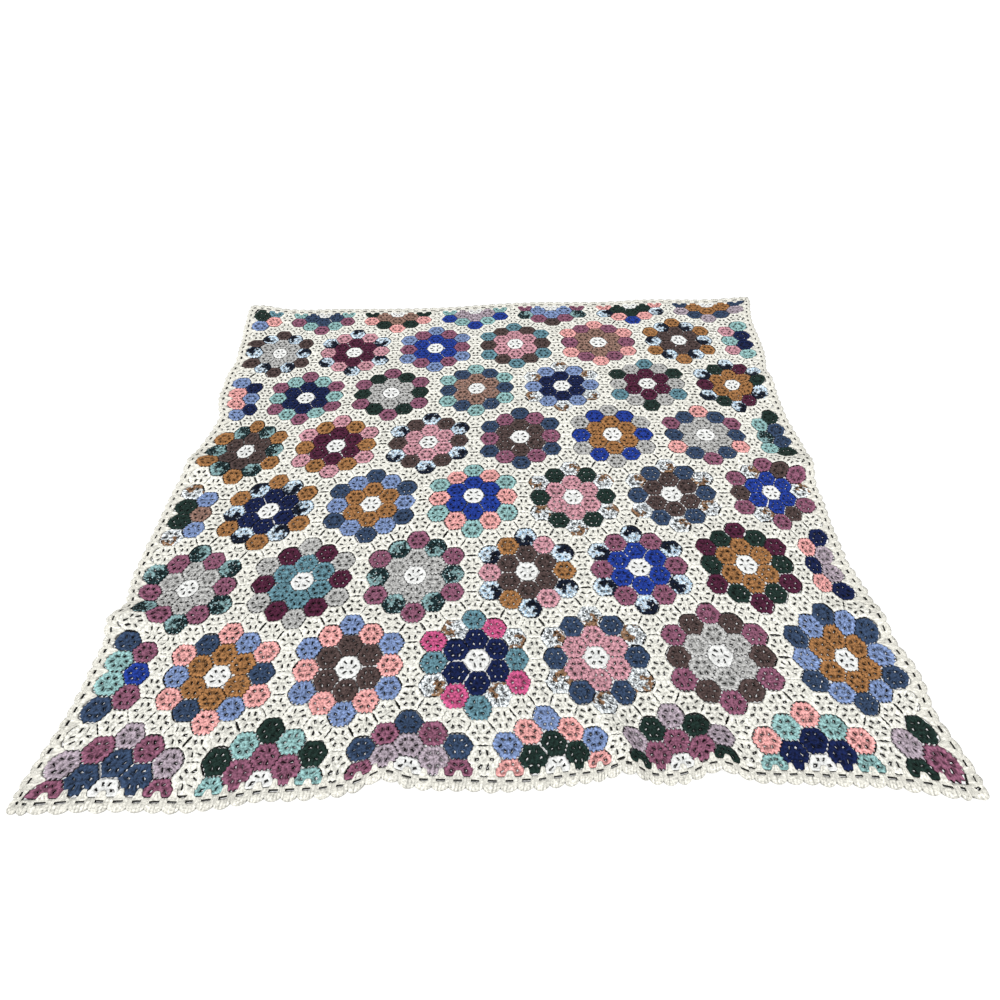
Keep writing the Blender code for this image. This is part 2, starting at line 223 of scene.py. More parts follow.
GROUND_RIM = Rim(
    (0.507, 0.512, 0.537, 0.600), (0.0042, 0.0042, 0.0043, 0.0043), NOWHERE,
    (0.054, 0.056, 0.042, 0.0), 0.1, 0.004, 0.018,
)

# A marled yarn's run colour, its share of the yarn, how many runs there are to a round, and its speck
# colour and that one's share.
Marl = namedtuple("Marl", "run run_share runs speck speck_share")
BLUE_MARL = Marl("10182A", 0.45, 1, "A4C4DE", 0.26)
GREEN_MARL = Marl("84A6A8", 0.36, 1, "A8C8CC", 0.06)
SAND_MARL = Marl("8A6A50", 0.27, 1, "848A90", 0.24)

# A yarn's colour and how it is worked. Contrast is how much painted shade its stitches get in the valleys
# and how uneven its tone is. The deep yarns are worked loosely, so the floor shows through their holes.
Yarn = namedtuple("Yarn", "colour marl rim hole contrast", defaults=(None, FLOWER_RIM, CLOSE_HOLE, 1.0))
LOOSELY = {"rim": OPEN_RIM, "hole": OPEN_HOLE}
YARNS = {
    "cream": Yarn("E3E2D9", rim=GROUND_RIM, hole=WIDE_HOLE, contrast=0.68),
    "white": Yarn("E4E5E3", rim=ROUND_RIM, hole=WIDE_HOLE, contrast=0.4),
    "brown": Yarn("514240", **LOOSELY),
    "camel": Yarn("A07146"),
    "mocha": Yarn("917266"),
    "wine": Yarn("502139", **LOOSELY),
    "plum": Yarn("8B586F"),
    "rose": Yarn("CA949F"),
    "salmon": Yarn("E7A5A2"),
    "hot pink": Yarn("C65886"),
    "royal": Yarn("213C94", **LOOSELY),
    "midnight": Yarn("14204A", **LOOSELY),
    "slate": Yarn("364864", **LOOSELY),
    "periwinkle": Yarn("7C91BC"),
    "teal": Yarn("628A97"),
    "seafoam": Yarn("90B9B8"),
    "hunter": Yarn("1E312C", **LOOSELY),
    "silver": Yarn("B4B4B2", contrast=0.95),
    "lilac": Yarn("AC9EA9"),
    "blue marl": Yarn("D4E2EC", BLUE_MARL),
    "green marl": Yarn("14292C", GREEN_MARL, hole=OPEN_HOLE),
    "sand marl": Yarn("ECF2F4", SAND_MARL, rim=GROUND_RIM, contrast=1.1),
}
YARN_NAMES = tuple(YARNS)
BORDER_YARN = Yarn("E2E0D6", contrast=0.62)

# -------- the flowers, as they are worked

# A flower is a white motif, six inner motifs, six at its corners and six between those. Corner yarns run
# clockwise from the far corner and between yarns clockwise from 60 degrees, and each run repeats.
FLOWER_ROW_STEP = 4.5  # rows of flowers, in pitches
FLOWER_COLUMN_STEP = 6  # flowers in a row, in columns
FLOWERS_IN_ROW = 7
FIRST_FLOWER_COLUMN = (2, -1)  # the first flower's column in even and in odd rows
CENTRE_YARN = "white"
GROUND_YARN = "cream"
INNER_REACH = 1.0  # how far each ring of a flower is from its middle, in pitches
BETWEEN_REACH = sqrt(3)
CORNER_REACH = 2.0
REACH_MARGIN = 0.1
Flower = namedtuple("Flower", "inner corner between")


def but_one(yarn, place, other):
    """A run of six motifs in one yarn, but for another yarn at one place."""
    return tuple(other if i == place else yarn for i in range(6))


FLOWERS = tuple(Flower(*row) for row in (
    # row 0, half flowers at the near edge
    ("slate", "lilac", "plum"),
    ("plum", "hunter", "seafoam"),
    ("lilac", "slate", "plum"),
    ("hunter", "periwinkle", "salmon"),
    ("plum", "lilac", "hunter"),
    ("midnight", "salmon", "seafoam"),
    ("plum", "lilac", "hunter"),
    # row 1
    ("seafoam", "plum", but_one("slate", 1, "royal")),
    ("camel", "salmon", ("periwinkle", "slate")),
    ("brown", "periwinkle", "salmon"),
    ("midnight", ("teal", "sand marl", "hot pink"), ("hot pink", "teal", "sand marl")),
    ("rose", "sand marl", "slate"),
    ("silver", "plum", "brown"),
    ("camel", "slate", "periwinkle"),
    # row 2
    ("silver", "green marl", "plum"),
    ("teal", "silver", "wine"),
    ("silver", "plum", "green marl"),
    ("brown", "blue marl", ("rose", "camel")),
    ("royal", "blue marl", "plum"),
    ("camel", "wine", "hunter"),
    ("lilac", "salmon", "midnight"),
    # row 3
    ("hunter", "periwinkle", but_one("sand marl", 1, "mocha")),
    ("midnight", "camel", "blue marl"),
    ("camel", "slate", "periwinkle"),
    ("royal", "seafoam", "salmon"),
    ("rose", "sand marl", "hunter"),
    ("brown", "sand marl", "slate"),
    ("royal", "plum", ("brown", "sand marl")),
    # row 4
    ("brown", "camel", "green marl"),
    ("wine", "rose", "camel"),
    ("rose", "blue marl", "brown"),
    ("brown", "slate", "plum"),
    ("camel", "silver", "royal"),
    ("silver", ("salmon", "plum"), "slate"),
    ("slate", "seafoam", but_one("hunter", 4, "green marl")),
    # row 5
    ("salmon", "midnight", "periwinkle"),
    ("midnight", "plum", "seafoam"),
    ("silver", "plum", "hunter"),
    ("mocha", "seafoam", "slate"),
    ("midnight", "sand marl", "periwinkle"),
    ("wine", ("teal", "hunter"), "silver"),
    ("camel", "blue marl", ("wine", "hunter")),
    # row 6
    ("silver", "brown", "blue marl"),
    ("wine", "blue marl", "rose"),
    ("royal", "periwinkle", "plum"),
    ("rose", "teal", "brown"),
    ("mocha", "salmon", "plum"),
    ("brown", "camel", "blue marl"),
    ("midnight", "rose", "seafoam"),
    # row 7, half flowers at the far edge
    ("hunter", "salmon", ("periwinkle", "teal", "periwinkle")),
    ("slate", "plum", "seafoam"),
    ("mocha", "salmon", "hunter"),
    ("lilac", "royal", "seafoam"),
    ("periwinkle", but_one("green marl", 3, "brown"), "plum"),
    ("hunter", but_one("blue marl", 3, "royal"), "salmon"),
    ("camel", "lilac", "slate"),
))


def picked(run, place):
    """The yarn at a place in a run of yarns, where one name stands for the whole run."""
    return run if isinstance(run, str) else run[place % len(run)]


def yarn_at(column, row_place):
    """The yarn of the motif in a column, at a height in pitches above the near edge."""
    for number, flower in enumerate(FLOWERS):
        flower_row, place = divmod(number, FLOWERS_IN_ROW)
        flower_column = FIRST_FLOWER_COLUMN[flower_row % 2] + place * FLOWER_COLUMN_STEP
        run, rise = (column - flower_column) * COLUMN_STEP, row_place - flower_row * FLOWER_ROW_STEP
        reach = hypot(run, rise)
        if reach > CORNER_REACH + REACH_MARGIN:
            continue
        clockwise = round((90 - degrees(atan2(rise, run))) / 30) % 12
        if reach < REACH_MARGIN:
            return CENTRE_YARN
        if abs(reach - INNER_REACH) < REACH_MARGIN:
            return flower.inner
        if abs(reach - BETWEEN_REACH) < REACH_MARGIN:
            return picked(flower.between, (clockwise - 1) // 2)
        return picked(flower.corner, clockwise // 2)
    return GROUND_YARN


# -------- one motif, as a closed piece of crochet

SPOKES = 36  # points round a motif: a stitch every other one
SPOKE_TURN = 360 / SPOKES
HOLES = 6  # one hole toward each corner of the hexagon
SPOKES_TO_HOLE = SPOKES // HOLES

# A ring of points: its share of the way out to the rim, its height, how far its stitches stand up, how much
# painted shade it gets for lying deep in the work, from 0 to 1, and whether it is on the underside.
Ring = namedtuple("Ring", "share height ridge crease below", defaults=(False,))
MIDDLE_TOP = Ring(0.0, 0.0028, 0.0, 0.8)
EYE_TOP = Ring(0.13, 0.0040, 0.0, 0.3)
ROUND_ONE_TOP = Ring(0.27, 0.0052, 0.0004, 0.0)
HOLE_INNER_TOP = Ring(0.385, 0.0042, 0.0004, 0.3)
HOLE_OUTER_TOP = Ring(0.63, 0.0043, 0.0004, 0.3)
POSTS_TOP = Ring(0.77, 0.0053, 0.0006, 0.0)
HEADS_TOP = Ring(0.90, 0.0049, 0.0007, 0.1)
RIM_TOP = Ring(1.0, 0.0, 0.0004, 0.0)  # its height and painted shade come from the rim's finish
RIM_BELOW = Ring(1.0, 0.0003, 0.0, 0.3, True)
HOLE_OUTER_BELOW = Ring(0.62, 0.0, 0.0, 0.1, True)
HOLE_INNER_BELOW = Ring(0.385, 0.0, 0.0, 0.1, True)
MIDDLE_BELOW = Ring(0.0, 0.0006, 0.0, 0.4, True)
STITCH_VALLEY_PAINTED_SHADE = 0.47 # painted shade added in the valleys between stitches, at full contrast
GROUP_VALLEY_PAINTED_SHADE = 0.48  # painted shade beyond the holes, between the groups of stitches
# painted shade round the edges of the holes
HOLE_EDGE_PAINTED_SHADE = 0.60
WALL_PAINTED_SHADE = 1.0  # painted shade on the walls of holes and slits

HOLE_MIDDLE_SHARE = 0.51
TURN_STRAY = 1.6  # how far a stitch strays round the motif, degrees
SHARE_STRAY = 0.013  # and out from its middle, as a share
HOLE_SKEW = 14.0  # how far a hole leans, degrees each way
HOLE_WIDTH_SPREAD = 0.25
HOLE_DIP = 0.82  # how far the work sinks round a hole, as a share of its height
LOOSE_SHARE = 0.35  # how many of the motifs with close holes get open ones instead

SLIT_SPREAD = (-0.3, 1.6)  # from closed to widest, as times a slit's usual width
# how far the painted shade along a join strays from side to side, as times its usual amount
SIDE_PAINTED_SHADE_SPREAD = (0.2, 1.7)
CORNER_SHARES = np.array((0.0, 0.0, 0.5, 1.0))  # of a corner's spread that the rim has at 0 to 30 degrees
WOBBLE = 0.025  # how far the rounds are from true, as a share
THICKNESS_SPREAD = (0.94, 1.08)
HEIGHT_STRAY = 0.00012

# A half motif is worked against the field's straight edge.
HALF_MIDDLE = 0.15  # how far inside that edge its middle is
EDGE_OVERLAP = 0.02  # how far it runs under the border
WORKED_TURNS = (2, 178)  # the turns of its three other sides, and their headings, in degrees
HALF_HEADINGS = (30, 90, 150)
LEAST_FACING = 0.05  # a side that a turn faces less than this doesn't bound it
FAR_OFF = 10.0

FULL, NEAR_HALF, FAR_HALF = 0, 1, 2
OPEN_HOLES = {FULL: range(HOLES), NEAR_HALF: range(4), FAR_HALF: range(4)}
TOP, WALL, UNDER = 0, 1, 2

# A point of a motif: its ring and spoke, the hole that it is at, or -1, and which end and side of that hole.
# The table has these and the rings' values for all points.
Spot = namedtuple("Spot", "ring spoke hole end side")
SpotTable = namedtuple("SpotTable", Ring._fields + Spot._fields[1:])


def motif_template(holes):
    """A motif's points as Spots, and its faces by kind, with these holes of the six left open."""
    spots = []

    def ring(level, hole_end=0, step=1):
        first = len(spots)
        for spoke in range(0, SPOKES, step):
            hole, side = divmod(spoke + 1, SPOKES_TO_HOLE)
            if hole_end and side <= 2 and hole % HOLES in holes:
                spots.append(Spot(level, spoke, hole % HOLES, hole_end, side - 1))
            else:
                spots.append(Spot(level, spoke, -1, hole_end, 0))
        return list(range(first, len(spots)))

    def band(inner, outer, skipped=()):
        for i in range(len(inner)):
            if i not in skipped:
                j = (i + 1) % len(inner)
                yield inner[i], outer[i], outer[j], inner[j]

    def widening(inner, outer):
        for i, first in enumerate(inner):
            last = inner[(i + 1) % len(inner)]
            ends = [outer[(2 * i + step) % len(outer)] for step in range(3)]
            yield from ((first, ends[0], ends[1]), (first, ends[1], last), (last, ends[1], ends[2]))

    def fan(middle, rim):
        for i, spot in enumerate(rim):
            yield middle, spot, rim[(i + 1) % len(rim)]

    (middle,) = ring(MIDDLE_TOP, step=SPOKES)
    eye = ring(EYE_TOP, step=2)
    round_one = ring(ROUND_ONE_TOP)
    hole_inner = ring(HOLE_INNER_TOP, -1)
    hole_outer = ring(HOLE_OUTER_TOP, 1)
    posts = ring(POSTS_TOP)
    heads = ring(HEADS_TOP)
    rim = ring(RIM_TOP)
    rim_below = ring(RIM_BELOW)
    outer_below = ring(HOLE_OUTER_BELOW, 1)
    inner_below = ring(HOLE_INNER_BELOW, -1)
    (middle_below,) = ring(MIDDLE_BELOW, step=SPOKES)
    open_cells = {(hole * SPOKES_TO_HOLE + step) % SPOKES for hole in holes for step in (-1, 0)}

    top = [*fan(middle, eye), *widening(eye, round_one), *band(round_one, hole_inner)]
    top += [*band(hole_inner, hole_outer, open_cells), *band(hole_outer, posts)]
    top += [*band(posts, heads), *band(heads, rim)]
    under = [*band(outer_below, rim_below), *band(inner_below, outer_below, open_cells)]
    under += fan(middle_below, inner_below)
    walls = [(rim[i], rim[i - 1], rim_below[i - 1], rim_below[i]) for i in range(SPOKES)]
    for hole in holes:
        spokes = [(hole * SPOKES_TO_HOLE + step) % SPOKES for step in (-1, 0, 1)]
        above = [hole_inner[i] for i in spokes] + [hole_outer[i] for i in reversed(spokes)]
        below = [inner_below[i] for i in spokes] + [outer_below[i] for i in reversed(spokes)]
        walls += [(above[i], above[i - 1], below[i - 1], below[i]) for i in range(len(above))]
    return spots, {TOP: top, WALL: walls, UNDER: [face[::-1] for face in under]}


def spot_table(spots):
    """Each value of the spots and of their rings, as one array."""
    return SpotTable(*(np.array(values) for values in zip(*((*spot.ring, *spot[1:]) for spot in spots))))


def cell_reach(turn, kind):
    """The distance from a motif's middle to its cell's edge along each turn, in degrees."""
    if kind == FULL:
        return 0.5 / np.cos(np.radians((turn % 60) - 30))
    reach = np.full_like(turn, FAR_OFF)
    sides = [(heading, 0.5 - HALF_MIDDLE * sin(radians(heading))) for heading in HALF_HEADINGS]
    for heading, distance in (*sides, (-90, HALF_MIDDLE)):
        facing = np.cos(np.radians(turn - heading))
        bounded = np.minimum(reach, distance / np.maximum(facing, LEAST_FACING))
        reach = np.where(facing > LEAST_FACING, bounded, reach)
    return reach


def each(things, field):
    """One value of each motif's yarn, rim or hole, as a column."""
    return np.array([[getattr(thing, field)] for thing in things])


def steps_off_side(turn):
    """How many spokes each turn is from the middle of a side, 0 to 3."""
    return np.abs(((turn % 60) - 30) / SPOKE_TURN).astype(int)


def rim_values(rims, field, turn):
    """A value of each motif's rim at each turn."""
    return np.array([getattr(rim, field) for rim in rims])[:, steps_off_side(turn)]


def side_chances(least, most, turn, count):
    """A chance value for each side of each motif, at each turn."""
    return chance.uniform(least, most, (count, HOLES))[:, (turn // 60).astype(int)]


def spot_turns(at, holes):
    """How far round in degrees and how far out as a share each spot lies, with the holes worked in."""
    motif_holes = (len(holes), HOLES)
    skew = chance.uniform(-HOLE_SKEW, HOLE_SKEW, motif_holes)[:, at.hole]
    width = chance.uniform(1 - HOLE_WIDTH_SPREAD, 1 + HOLE_WIDTH_SPREAD, motif_holes)[:, at.hole]
    half_turn, inner, outer = (
        np.where(at.below, each(holes, field + "_below"), each(holes, field))
        for field in ("half_turn", "inner", "outer")
    )
    hole_share = np.where(at.end < 0, inner, outer)
    half_turn = half_turn * width * HOLE_MIDDLE_SHARE / hole_share
    hole_turn = at.hole * SPOKES_TO_HOLE * SPOKE_TURN + at.side * half_turn + at.end * skew
    turn = np.where(at.hole >= 0, hole_turn, at.spoke * SPOKE_TURN)
    share = np.where(at.hole >= 0, hole_share, at.share)
    free = (at.share >= ROUND_ONE_TOP.share) & (at.share < RIM_TOP.share) & ~at.below
    turn = turn + np.where(free, chance.normal(0, TURN_STRAY, turn.shape), 0.0)
    return turn, share + np.where(free, chance.normal(0, SHARE_STRAY, turn.shape), 0.0)


def rim_radius(at, rims, kind, ridge_sign):
    """How far out the rim is on each spot's spoke, with its slits and its stitches, in pitches."""
    turn = at.spoke * SPOKE_TURN
    count = len(rims)
    worked = (kind == FULL) | (turn > WORKED_TURNS[0]) & (turn < WORKED_TURNS[1])
    out_by = rim_values(rims, "reaches", turn) - cell_reach(turn, FULL)
    corner = ((turn + 30) // 60 % HOLES).astype(int)
    corner_spread = each(rims, "corner_spread") * chance.uniform(-1, 1, (count, HOLES))
    out_by = out_by + corner_spread[:, corner] * CORNER_SHARES[steps_off_side(turn)]
    slit = rim_values(rims, "slits", turn) * side_chances(*SLIT_SPREAD, turn, count)
    out_by = out_by - slit * np.where(at.below, each(rims, "through"), 1.0)
    bump = np.where(worked, each(rims, "bump") * ridge_sign, 0.0)
    return cell_reach(turn, kind) + np.where(worked, out_by, EDGE_OVERLAP) + bump


def spot_radius(at, turn, share, rim, kind):
    """How far out each spot lies, in pitches. The first round is round, and the rim has the cell's shape."""
    cell_share = share**2 if kind == FULL else 1.0
    wobble = 1 + WOBBLE * np.sin(np.radians(2 * turn) + chance.uniform(0, 2 * pi, (len(turn), 1)))
    reach = share * (0.5 * (1 - cell_share) + cell_reach(turn, kind) * cell_share) * wobble
    return np.where(at.share == RIM_TOP.share, rim, reach)


def spot_heights(at, rims, ridge_sign):
    """How high each spot lies above the underside of the cloth, in metres."""
    rim_height = rim_values(rims, "heights", at.spoke * SPOKE_TURN)
    height = np.where((at.share == RIM_TOP.share) & ~at.below, rim_height, at.height)
    height = height * np.where(at.below, 1.0, chance.uniform(*THICKNESS_SPREAD, (len(rims), 1)))
    height = np.where((at.hole >= 0) & ~at.below, height * HOLE_DIP, height) + at.ridge * ridge_sign
    still = at.below | (at.share == 0)
    return height + np.where(still, 0.0, chance.normal(0, HEIGHT_STRAY, height.shape))


def spot_painted_shades(at, rims, ridge_sign, contrast):
    """How much painted shade each spot gets for lying deep in the work, from 0 to 1."""
    turn = at.spoke * SPOKE_TURN
    rim_painted_shade = rim_values(rims, "creases", turn) * side_chances(*SIDE_PAINTED_SHADE_SPREAD, turn, len(rims))
    crease = np.where((at.share == RIM_TOP.share) & ~at.below, rim_painted_shade, at.crease * contrast)
    valley = (ridge_sign < 0) & (at.share >= ROUND_ONE_TOP.share) & ~at.below
    crease = crease + np.where(valley, STITCH_VALLEY_PAINTED_SHADE * contrast, 0.0)
    past_holes = (at.share >= HOLE_OUTER_TOP.share) & (at.share < RIM_TOP.share) & ~at.below
    group_valley = (at.spoke % SPOKES_TO_HOLE == 0) & past_holes
    crease = np.where(group_valley, np.maximum(crease, GROUP_VALLEY_PAINTED_SHADE * contrast), crease)
    at_hole = (at.hole >= 0) & ~at.below
    return np.where(at_hole, np.maximum(crease, HOLE_EDGE_PAINTED_SHADE), np.minimum(crease, 1.0))


def worked_holes(yarns):
    """The kind of hole that each motif is worked with."""
    loosened = {CLOSE_HOLE: OPEN_HOLE}
    loose = chance.random(len(yarns)) < LOOSE_SHARE
    return [loosened.get(yarn.hole, yarn.hole) if slack else yarn.hole for yarn, slack in zip(yarns, loose)]


def motif_mesh_parts(kind, motifs):
    """The points, stitch places and painted shade of all motifs of a kind, and the faces of one. A motif is
    given as its place and its yarn's number in YARN_NAMES."""
    spots, faces = motif_template(OPEN_HOLES[kind])
    at = spot_table(spots)
    count = len(motifs)
    x, y = np.array([motif[:2] for motif in motifs]).T[..., None]
    yarns = [YARNS[YARN_NAMES[number]] for _, _, number in motifs]
    rims = [yarn.rim for yarn in yarns]
    holes = worked_holes(yarns)
    parity = np.where(chance.random((count, 1)) < 0.5, 1.0, -1.0)
    ridge_sign = np.where(at.spoke % 2 == 0, 1.0, -1.0) * parity

    turn, share = spot_turns(at, holes)
    radius = spot_radius(at, turn, share, rim_radius(at, rims, kind, ridge_sign), kind)
    local_x, local_y = radius * np.cos(np.radians(turn)), radius * np.sin(np.radians(turn))
    height = spot_heights(at, rims, ridge_sign)
    crease = spot_painted_shades(at, rims, ridge_sign, each(yarns, "contrast"))

    away = -1 if kind == FAR_HALF else 1
    raise_by = 0.0 if kind == FULL else HALF_MIDDLE * away
    points = lie(x + local_x * away, y + raise_by + local_y * away)
    points[..., 2] += height
    seed = np.broadcast_to(chance.random((count, 1)), turn.shape)
    stitch_place = np.stack((local_x, local_y, seed), axis=-1)
    # The walls of holes and slits get full painted shade.
    wall_painted_shade = np.full(count, WALL_PAINTED_SHADE)
    corners = [(part, corner) for part, some in faces.items() for face in some for corner in face]
    creases = np.stack([wall_painted_shade if part == WALL else crease[:, corner] for part, corner in corners], axis=1)
    return points, stitch_place, creases, [face for some in faces.values() for face in some]


# -------- meshes from parts


def scene_object(name, data):
    made = bpy.data.objects.new(name, data)
    bpy.context.scene.collection.objects.link(made)
    return made


def mesh_object(name, points, faces, face_yarns, yarn_materials, crease, stitch_place):
    """A smooth mesh object with its yarns and the two attributes that they read: the painted shade at each
    face's corners, and the place of each point in its motif or shell."""
    mesh = bpy.data.meshes.new(name)
    sizes = np.array([len(face) for face in faces])
    corners = np.concatenate([np.asarray(face) for face in faces])
    mesh.vertices.add(len(points))
    mesh.vertices.foreach_set("co", points.astype(np.float32).ravel())
    mesh.loops.add(len(corners))
    mesh.loops.foreach_set("vertex_index", corners.astype(np.int32))
    mesh.polygons.add(len(sizes))
    mesh.polygons.foreach_set("loop_start", np.concatenate(([0], np.cumsum(sizes)[:-1])).astype(np.int32))
    used = sorted(set(face_yarns))
    for number in used:
        mesh.materials.append(yarn_materials[number])
    slot_of = {number: slot for slot, number in enumerate(used)}
    mesh.polygons.foreach_set("material_index", np.array([slot_of[n] for n in face_yarns], np.int32))
    mesh.polygons.foreach_set("use_smooth", np.ones(len(sizes), bool))
    # Painted shade at each face's corners.
    mesh.attributes.new("crease", "FLOAT", "CORNER").data.foreach_set("value", crease.astype(np.float32))
    mesh.attributes.new("stitch_place", "FLOAT_VECTOR", "POINT").data.foreach_set(
        "vector", stitch_place.astype(np.float32).ravel()
    )
    mesh.update(calc_edges=True)
    mesh.validate()
    return scene_object(name, mesh)


# Each band's first column, and the first column past it.
BANDS = ((0, 6), (6, 12), (12, 19), (19, 26), (26, 32), (32, 38))


def band_motifs(first, last):
    """The motifs of a band of columns, by kind."""
    found = {FULL: [], NEAR_HALF: [], FAR_HALF: []}
    for column in range(first, last):
        x = FIRST_COLUMN + column * COLUMN_STEP
        lower_by = 0.0 if column % 2 == 0 else 0.5
        for row in range(FULL_MOTIFS + 1):
            place = row + lower_by
            kind = NEAR_HALF if place == 0 else FAR_HALF if place == FIELD_LENGTH else FULL
            found[kind].append((x, place - HALF_LENGTH, YARN_NAMES.index(yarn_at(column, place))))
    return {kind: motifs for kind, motifs in found.items() if motifs}


def build_band(number, first, last, yarn_materials):
    """One band of columns of the field."""
    parts, faces, yarns = [], [], []
    total, whole_motifs = 0, 0
    for kind, motifs in band_motifs(first, last).items():
        new_points, new_places, new_painted_shades, template = motif_mesh_parts(kind, motifs)
        for _, _, yarn in motifs:
            faces += [tuple(total + corner for corner in face) for face in template]
            yarns += [yarn] * len(template)
            total += new_points.shape[1]
        # The parts' points, painted shade at the faces' corners, and stitch places.
        parts.append((new_points.reshape(-1, 3), new_painted_shades.ravel(), new_places.reshape(-1, 3)))
        whole_motifs += len(motifs) * (1 if kind == FULL else 0.5)
    points, creases, places = (np.concatenate(some) for some in zip(*parts))
    made = mesh_object(f"field_band_{number}", points, faces, yarns, yarn_materials, creases, places)
    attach(made, "root")
    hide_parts("field")


# -------- the shell border

RIBS = 5  # stitches in a fan
SHELL_COLUMNS = 2 * RIBS  # a rib and a valley each
TOOTH_COLUMNS = (2, 8)  # the columns that a pointed first-row shell takes up
TOOTH_HALF = (TOOTH_COLUMNS[1] - TOOTH_COLUMNS[0]) / 2
GAP_COLUMNS = (3, 7)
GAP_AT, GAP_DEPTH = 0.22, 0.12
GAP_WIDTHS = (0.8, 1.1)  # how wide one gap is against another, and how deep
GAP_DEPTHS = (0.75, 1.3)
SIDE_GAP = (0.78, 1.2)  # how wide and deep a gap is along the side edges, as shares
GAP_SLANT = 0.03  # how far one end of a gap lies further out than its middle
COLUMN_PLACES = (0.0, 0.08, 0.16, 0.23, 0.36, 0.5, 0.64, 0.77, 0.84, 0.92, 1.0)
SHELL_CUT_IN = 0.16  # within this of the field's rim the border follows the rim's own line

# A row of points across a shell: distance out, how much further out its underside is, half width of the
# tooth there, or 0 where the row runs right across, heights, ridge, painted shade and the valleys' painted
# shade.
Row = namedtuple("Row", "out shift_below tooth top bottom ridge crease valley")
TOOTH_ROWS = (
    Row(-0.215, 0.0, 0.07, 0.0050, 0.0030, 0.0002, 0.2, 0.3),
    Row(-0.185, 0.0, 0.12, 0.0060, 0.0030, 0.0004, 0.0, 0.4),
    Row(-0.120, 0.0, 0.16, 0.0066, 0.0030, 0.0006, 0.0, 0.6),
    Row(-0.020, 0.0, 0.20, 0.0062, 0.0015, 0.0007, 0.0, 0.6),
)
SHELL_ROWS = (
    Row(0.045, -0.02, 0.0, 0.0038, 0.0002, 0.0003, 0.3, 0.2),
    Row(GAP_AT - GAP_DEPTH / 2, 0.045, 0.0, 0.0046, 0.0, 0.0005, 0.1, 0.4),
    Row(GAP_AT + GAP_DEPTH / 2, -0.045, 0.0, 0.0046, 0.0, 0.0005, 0.1, 0.4),
    Row(0.37, 0.0, 0.0, 0.0056, 0.0, 0.0009, 0.0, 0.56),
    Row(0.47, 0.0, 0.0, 0.0052, 0.0, 0.0009, 0.0, 0.56),
    Row(0.57, 0.0, 0.0, 0.0036, 0.0003, 0.0006, 0.4, 0.2),
)
SIDE_TOOTH = 0.4  # how far the teeth reach in along the stepped side edges, as a share
MIDDLE_TOOTH = 0.7  # and over the middle of a half motif, where it is worked into the motif itself
MIDDLE_WIDTH = 1.3  # and how wide those are
SIDE_VALLEY_SHADE = 0.75  # how dark the painted shade in the valleys is along the side edges, as a share
# how far the valleys' painted shade strays from column to column
VALLEY_SHADE_SPREAD = (0.6, 1.25)
SHELL_STRAY = 0.025  # how far a fan's reach strays
SHELL_HEIGHT_STRAY = 0.00015
FAN_OVERHANG = 0.02  # how far the yarn stands out past the solid's outline
FAN_ROUNDNESS = 0.7  # the power of a sine that a fan's outline follows
CORNER_ROUNDNESS = 0.8  # and likewise the line round a corner
WHOLE_SHELL = 0.4  # a shell shorter than this is a half one, with no tooth
# painted shade on the underside
UNDER_PAINTED_SHADE = 0.1
OUTER_PAINTED_SHADE = (0.5, 0.75)  # painted shade at the top and at the foot of the border's outer edge
BETWEEN_PAINTED_SHADE = 0.6  # painted shade between one fan and the next
ROOT_PAINTED_SHADE = (1.0, 0.45)  # painted shade where the border meets the field: near and far, and at the sides


def near_edge():
    """The field's near edge, left to right, with a point at each shell's end. Shells stand at the motifs'
    corners and at the half motifs' middles, so a half shell comes first and last."""
    sides = round((2 * HALF_WIDTH - HALF_SIDE) / SIDE)
    ends = [0, *(i + 0.5 for i in range(sides)), sides]
    return [(i * SIDE - HALF_WIDTH, -HALF_LENGTH) for i in ends]


def side_reach(y):
    """How far out the stepped right edge lies at a height: in, out, in, to the far corner."""
    step = (y + HALF_LENGTH) * 2 % 2
    return HALF_WIDTH - HALF_SIDE * abs(step - 1)


def right_edge():
    """The field's right edge, near to far, likewise: a shell stands at each step out and at each step in."""
    steps = round(FIELD_LENGTH * 2)
    ends = [0, *(i + 0.5 for i in range(steps)), steps]
    heights = [i / 2 - HALF_LENGTH for i in ends]
    return [(side_reach(y), y) for y in heights]


def turned(places):
    """The same edge on the opposite side, since the field is the same turned half round."""
    return [(-x, -y) for x, y in places]


def outwards(place, normal, distance):
    """A place moved out square to its side. Near the field it follows the rim's own line."""
    x, y = place
    share = min(1.0, max(0.0, distance / SHELL_CUT_IN))
    if normal[0]:
        level = abs(x) + (HALF_WIDTH - abs(x)) * share
        return normal[0] * (level + distance), y
    return x, normal[1] * (HALF_LENGTH + distance)


def out_at(row, share):
    """How far out a row's point is at a share of the way across its shell: the last row is scalloped."""
    if row is not SHELL_ROWS[-1]:
        return row.out
    fan = (SHELL_CREST - SHELL_VALLEY) * np.sin(pi * share) ** FAN_ROUNDNESS
    return SHELL_VALLEY + FAN_OVERHANG + fan


def columns_of(row):
    """The columns of a row's first and last points."""
    return TOOTH_COLUMNS if row.tooth else (0, SHELL_COLUMNS)


